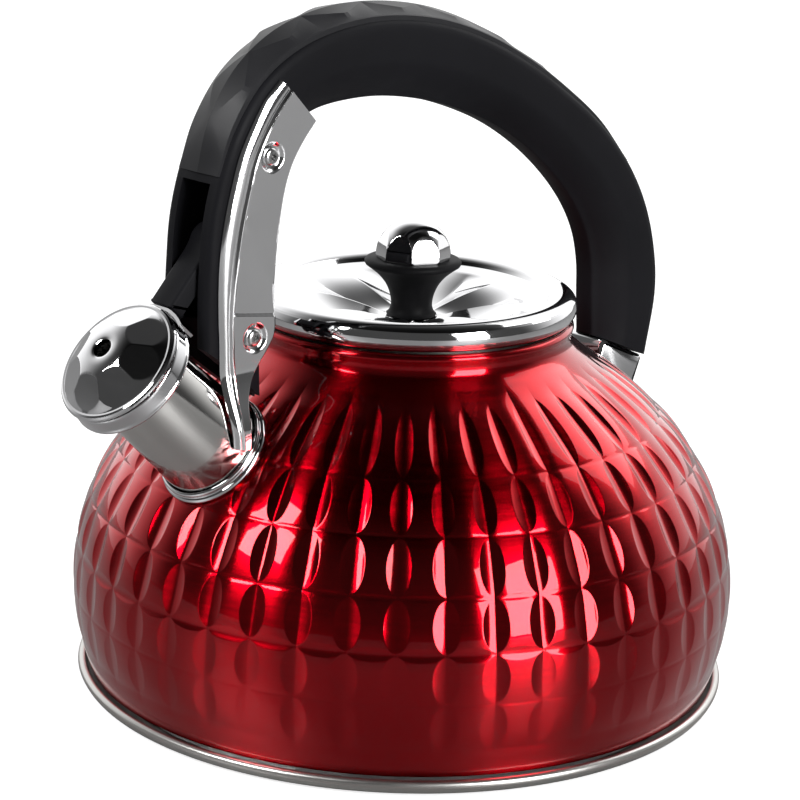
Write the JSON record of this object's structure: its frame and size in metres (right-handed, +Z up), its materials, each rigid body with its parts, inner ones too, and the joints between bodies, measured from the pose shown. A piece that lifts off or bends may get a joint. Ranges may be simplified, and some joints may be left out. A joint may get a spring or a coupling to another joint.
{
  "type": "stovetop whistling kettle",
  "caption": "Squat red kettle with an embossed body, lift-off knobbed lid, fixed arch handle and a whistling spout cap lifted by a trigger lever.",
  "frame": {"origin": "on the axis of the round body, on the plane that the base stands on", "axes": "+Z up along the body's axis, -X towards the spout, +X towards the rear foot of the handle, Y across the handle"},
  "size_m": [0.2481, 0.219, 0.2263],
  "materials": {
    "red_lacquer": "clear red lacquer over bright pressed steel, high gloss",
    "brushed_steel": "brushed",
    "heat_disc": "as cast",
    "chrome": "polished",
    "fastener_steel": "bright zinc",
    "black_grip": "soft satin, heat resistant",
    "seal_silicone": "matt"
  },
  "bodies": {
    "kettle": {"base_capsule": "brushed_steel", "base_heat_disc": "heat_disc", "base_pan": "brushed_steel", "body_shell": "red_lacquer", "cheek_far": "chrome", "cheek_near": "chrome", "cheek_screw_far_lower": "fastener_steel", "cheek_screw_far_upper": "fastener_steel", "cheek_screw_near_lower": "fastener_steel", "cheek_screw_near_upper": "fastener_steel", "front_bracket": "brushed_steel", "front_screw": "fastener_steel", "handle_crown": "black_grip", "handle_frame": "black_grip", "pivot_pin": "fastener_steel", "rear_bracket": "brushed_steel", "rear_ferrule": "chrome", "rear_screw": "fastener_steel", "return_spring": "fastener_steel", "spout_base_ring": "chrome", "spout_tube": "brushed_steel"},
    "cap_lever": {"lever": "black_grip", "cap_sleeve": "chrome", "cap_dome": "chrome", "cap_saddle": "chrome", "cap_rivet": "fastener_steel", "cap_seal": "seal_silicone", "whistle_plate_back": "brushed_steel", "whistle_plate_front": "brushed_steel"},
    "lid": {"lid_cover": "chrome", "lid_skirt": "brushed_steel", "lid_seal": "seal_silicone", "lid_washer": "brushed_steel", "knob_stem": "black_grip", "knob_cap": "chrome", "knob_screw": "fastener_steel"}
  },
  "joints": [
    {"name": "lever_hinge", "type": "hinge", "parent": "kettle", "child": "cap_lever", "pos_m": [-0.08423, 0, 0.157], "axis": [0, 1, 0], "range_deg": [0, 45], "stiffness_Nm_per_rad": 0.03, "springref_deg": -20.05},
    {"name": "lid_lift", "type": "slide", "parent": "kettle", "child": "lid", "axis": [0, 0, 1], "range_m": [0, 0.03]}
  ]
}
